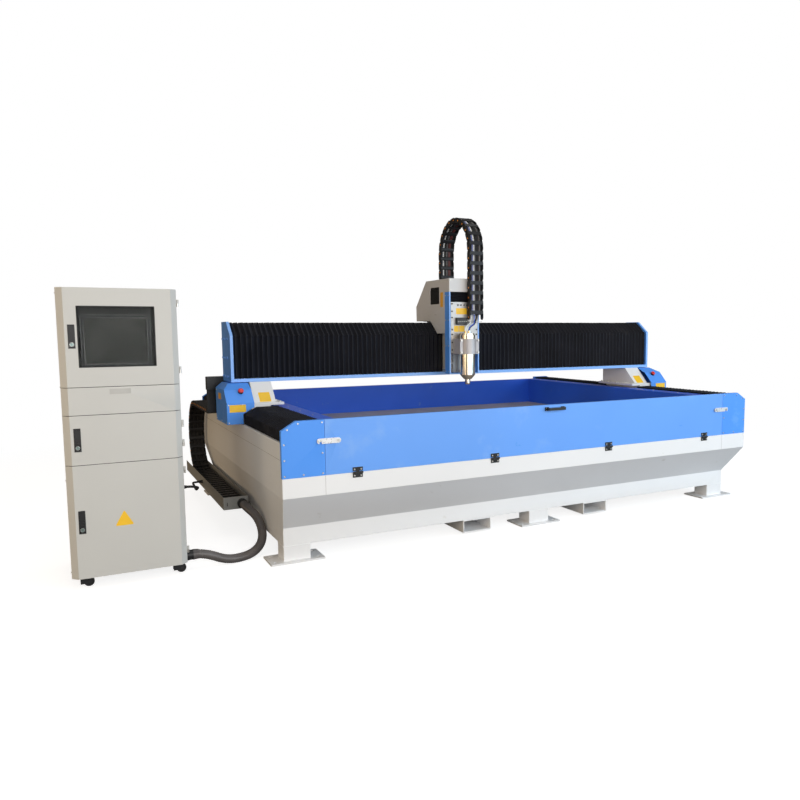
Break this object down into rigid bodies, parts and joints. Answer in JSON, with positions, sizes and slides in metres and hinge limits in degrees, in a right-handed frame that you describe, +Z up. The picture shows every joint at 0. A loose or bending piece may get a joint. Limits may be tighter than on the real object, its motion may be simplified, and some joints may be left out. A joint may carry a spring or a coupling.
{
  "type": "cnc stone engraving machine",
  "caption": "Large-format gantry stone engraver with a water tank bed, folding front door, bellows-covered axes, cable chains and a separate control cabinet.",
  "frame": {"origin": "middle of the whole object's box at floor level, cords included within it", "axes": "+Z up; -Y towards the operator's side with the folding door; +X along the gantry beam, away from the cabinet"},
  "size_m": [5.25, 2.84, 2.4098],
  "materials": {
    "white_paint": "semi-gloss",
    "grey_paint": "satin",
    "cabinet_paint": "fine texture",
    "blue_paint": "semi-gloss",
    "black_paint": "satin",
    "cast_table": "milled",
    "ground_steel": "ground",
    "plated_steel": "zinc plated",
    "plate_metal": "milled",
    "chrome": "polished",
    "black_nylon": "moulded",
    "black_plastic": "moulded",
    "bellows_cloth": "coated cloth",
    "module_paint": "satin",
    "grey_hose": "matte",
    "black_rubber": "matte",
    "red_plastic": "moulded"
  },
  "bodies": {
    "bed": {"bed_frame": "white_paint", "foot_plates": "grey_paint", "fork_channels": "grey_paint", "table_top": "cast_table", "tank_lining": "blue_paint", "end_caps": "blue_paint", "hinge_leaves": "black_paint", "guide_rails": "ground_steel", "chain_tray": "grey_paint", "side_chain_low": "black_nylon", "side_bellows": "bellows_cloth", "cabinet_shell": "cabinet_paint", "drive_modules": "module_paint", "cabinet_hardware": "plated_steel", "grey_hose": "grey_hose", "black_cable": "black_rubber"},
    "front_door": {"tank_door": "blue_paint", "door_handle": "black_paint"},
    "left_latch": {"latch_left": "chrome"},
    "right_latch": {"latch_right": "chrome"},
    "chain_bend_low": {"side_bend_low": "black_nylon"},
    "gantry": {"gantry_beam": "white_paint", "gantry_surround": "blue_paint", "gantry_feet": "white_paint", "side_running_gear": "ground_steel", "side_covers": "blue_paint", "beam_rails": "ground_steel", "gantry_bellows": "bellows_cloth", "side_chain_top": "black_nylon", "cable_duct": "black_paint"},
    "chain_bend_top": {"side_bend_top": "black_nylon"},
    "left_stop_button": {"stop_button_left": "red_plastic"},
    "right_stop_button": {"stop_button_right": "red_plastic"},
    "head": {"head_saddle": "white_paint", "motor_cover": "white_paint", "head_side_covers": "blue_paint", "head_rails": "ground_steel", "drive_motors": "black_paint", "head_chain": "black_nylon", "head_bellows": "bellows_cloth"},
    "screw": {"lifting_screw": "ground_steel"},
    "head_slide": {"head_plate": "plate_metal", "spindle_clamp": "plate_metal", "spindle_body": "ground_steel", "spindle_lines": "black_rubber"},
    "spindle_shaft": {"collet_nut": "plated_steel"},
    "monitor_door": {"window_door": "cabinet_paint", "monitor": "black_plastic"},
    "drawer": {"keyboard_drawer": "cabinet_paint"},
    "bay_door": {"middle_door": "cabinet_paint"},
    "base_door": {"lower_door": "cabinet_paint"},
    "lock_a": {"upper_lock": "black_plastic"},
    "lock_b": {"middle_lock": "black_plastic"},
    "lock_c": {"lower_lock": "black_plastic"},
    "swivel_left": {"caster_fork_left": "plated_steel"},
    "swivel_right": {"caster_fork_right": "plated_steel"},
    "wheel_fl": {"caster_wheel_fl": "black_rubber"},
    "wheel_fr": {"caster_wheel_fr": "black_rubber"},
    "wheel_rl": {"caster_wheel_rl": "black_rubber"},
    "wheel_rr": {"caster_wheel_rr": "black_rubber"}
  },
  "joints": [
    {"name": "door_fold", "type": "hinge", "parent": "bed", "child": "front_door", "pos_m": [0.515, -1.388, 0.578], "axis": [1, 0, 0], "range_deg": [0, 170]},
    {"name": "left_latch_turn", "type": "hinge", "parent": "front_door", "child": "left_latch", "pos_m": [-1.13, -1.387, 0.793], "axis": [0, 1, 0], "range_deg": [0, 90]},
    {"name": "right_latch_turn", "type": "hinge", "parent": "front_door", "child": "right_latch", "pos_m": [2.16, -1.387, 0.793], "axis": [0, -1, 0], "range_deg": [0, 90]},
    {"name": "gantry_travel", "type": "slide", "parent": "bed", "child": "gantry", "axis": [0, 1, 0], "range_m": [-0.7, 0.8], "deforming": ["side_bellows", "side_chain_low", "side_chain_top"]},
    {"name": "chain_bend_low_travel", "type": "slide", "parent": "bed", "child": "chain_bend_low", "axis": [0, 1, 0], "range_m": [-0.35, 0.4]},
    {"name": "chain_bend_top_travel", "type": "slide", "parent": "gantry", "child": "chain_bend_top", "axis": [0, 1, 0], "range_m": [-0.4, 0.35]},
    {"name": "left_stop_push", "type": "slide", "parent": "gantry", "child": "left_stop_button", "axis": [0, 0.7071, -0.7071], "range_m": [0, 0.006], "stiffness_N_per_m": 800},
    {"name": "right_stop_push", "type": "slide", "parent": "gantry", "child": "right_stop_button", "axis": [0, 0.7071, -0.7071], "range_m": [0, 0.006], "stiffness_N_per_m": 800},
    {"name": "head_travel", "type": "slide", "parent": "gantry", "child": "head", "axis": [1, 0, 0], "range_m": [-1.31, 1.69], "deforming": ["gantry_bellows"]},
    {"name": "head_lift", "type": "slide", "parent": "head", "child": "head_slide", "axis": [0, 0, 1], "range_m": [-0.28, 0.05], "deforming": ["head_bellows", "head_chain"]},
    {"name": "screw_turn", "type": "hinge", "parent": "head", "child": "screw", "pos_m": [0.325, -0.33, 1.45], "axis": [0, 0, 1], "continuous": true},
    {"name": "spindle_spin", "type": "hinge", "parent": "head_slide", "child": "spindle_shaft", "pos_m": [0.313, -0.453, 1.05], "axis": [0, 0, 1], "continuous": true},
    {"name": "monitor_door_swing", "type": "hinge", "parent": "bed", "child": "monitor_door", "pos_m": [-1.993, -1.073, 1.43], "axis": [0, 0, 1], "range_deg": [0, 110]},
    {"name": "drawer_pull", "type": "slide", "parent": "bed", "child": "drawer", "axis": [0, -1, 0], "range_m": [0, 0.3]},
    {"name": "bay_door_swing", "type": "hinge", "parent": "bed", "child": "bay_door", "pos_m": [-1.993, -1.073, 0.86], "axis": [0, 0, 1], "range_deg": [0, 110]},
    {"name": "base_door_swing", "type": "hinge", "parent": "bed", "child": "base_door", "pos_m": [-1.993, -1.073, 0.39], "axis": [0, 0, 1], "range_deg": [0, 110]},
    {"name": "lock_a_lift", "type": "hinge", "parent": "monitor_door", "child": "lock_a", "pos_m": [-2.5565, -1.104, 1.498], "axis": [-1, 0, 0], "range_deg": [0, 60]},
    {"name": "lock_b_lift", "type": "hinge", "parent": "bay_door", "child": "lock_b", "pos_m": [-2.5565, -1.104, 0.92], "axis": [-1, 0, 0], "range_deg": [0, 60]},
    {"name": "lock_c_lift", "type": "hinge", "parent": "base_door", "child": "lock_c", "pos_m": [-2.5565, -1.104, 0.451], "axis": [-1, 0, 0], "range_deg": [0, 60]},
    {"name": "swivel_left_turn", "type": "hinge", "parent": "bed", "child": "swivel_left", "pos_m": [-2.565, -1.035, 0.058], "axis": [0, 0, 1], "continuous": true},
    {"name": "swivel_right_turn", "type": "hinge", "parent": "bed", "child": "swivel_right", "pos_m": [-2.06, -1.035, 0.058], "axis": [0, 0, 1], "continuous": true},
    {"name": "wheel_fl_roll", "type": "hinge", "parent": "swivel_left", "child": "wheel_fl", "pos_m": [-2.537, -1.035, 0.028], "axis": [0, 1, 0], "continuous": true},
    {"name": "wheel_fr_roll", "type": "hinge", "parent": "swivel_right", "child": "wheel_fr", "pos_m": [-2.032, -1.035, 0.028], "axis": [0, 1, 0], "continuous": true},
    {"name": "wheel_rl_roll", "type": "hinge", "parent": "bed", "child": "wheel_rl", "pos_m": [-2.565, -0.57, 0.028], "axis": [1, 0, 0], "continuous": true},
    {"name": "wheel_rr_roll", "type": "hinge", "parent": "bed", "child": "wheel_rr", "pos_m": [-2.06, -0.57, 0.028], "axis": [1, 0, 0], "continuous": true}
  ],
  "couplings": [
    {"joint": "chain_bend_low_travel", "follows": "gantry_travel", "ratio": 0.5},
    {"joint": "chain_bend_top_travel", "follows": "gantry_travel", "ratio": -0.5},
    {"joint": "screw_turn", "follows": "head_lift", "rad_per_m": -628.32}
  ]
}
